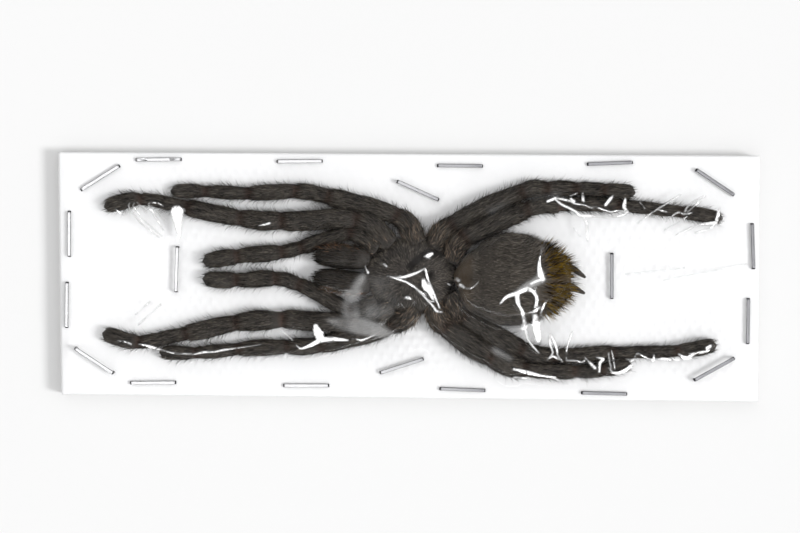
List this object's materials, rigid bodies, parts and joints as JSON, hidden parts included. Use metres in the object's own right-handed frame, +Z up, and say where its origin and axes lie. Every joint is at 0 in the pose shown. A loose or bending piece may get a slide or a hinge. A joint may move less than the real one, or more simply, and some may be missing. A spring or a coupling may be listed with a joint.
{
  "type": "dried tarantula specimen",
  "caption": "Dried tarantula laid out flat, back up, on embossed white tissue on a white board, under a clear film held down all round by wire staples.",
  "frame": {"origin": "Centre of the board's underside.", "axes": "+X along the board towards the animal's tail, +Y towards the animal's own right-hand side, +Z up out of the board."},
  "size_m": [0.2038, 0.0727, 0.0188],
  "materials": {
    "board": "white paper faces over white foam",
    "tissue": "embossed, matt",
    "film": "clear glossy plastic film with creases",
    "steel": "bright galvanised wire",
    "shell": "dark grey-brown dried cuticle with short hair",
    "tail": "dark brown, golden brown hair towards the end"
  },
  "bodies": {
    "root": {"backing_board": "board", "tissue_pad": "tissue", "clear_film": "film", "staple_01": "steel", "staple_02": "steel", "staple_03": "steel", "staple_04": "steel", "staple_05": "steel", "staple_06": "steel", "staple_07": "steel", "staple_08": "steel", "staple_09": "steel", "staple_10": "steel", "staple_11": "steel", "staple_12": "steel", "staple_13": "steel", "staple_14": "steel", "staple_15": "steel", "staple_16": "steel", "staple_17": "steel", "staple_18": "steel", "staple_19": "steel", "staple_20": "steel", "front_body": "shell", "jaw_right": "shell", "jaw_left": "shell", "leg_1_right": "shell", "leg_1_left": "shell", "leg_2_right": "shell", "leg_2_left": "shell", "leg_3_right": "shell", "leg_3_left": "shell", "leg_4_right": "shell", "leg_4_left": "shell", "palp_right": "shell", "palp_left": "shell", "abdomen": "tail", "spinneret_right": "tail", "spinneret_left": "tail"}
  },
  "joints": []
}
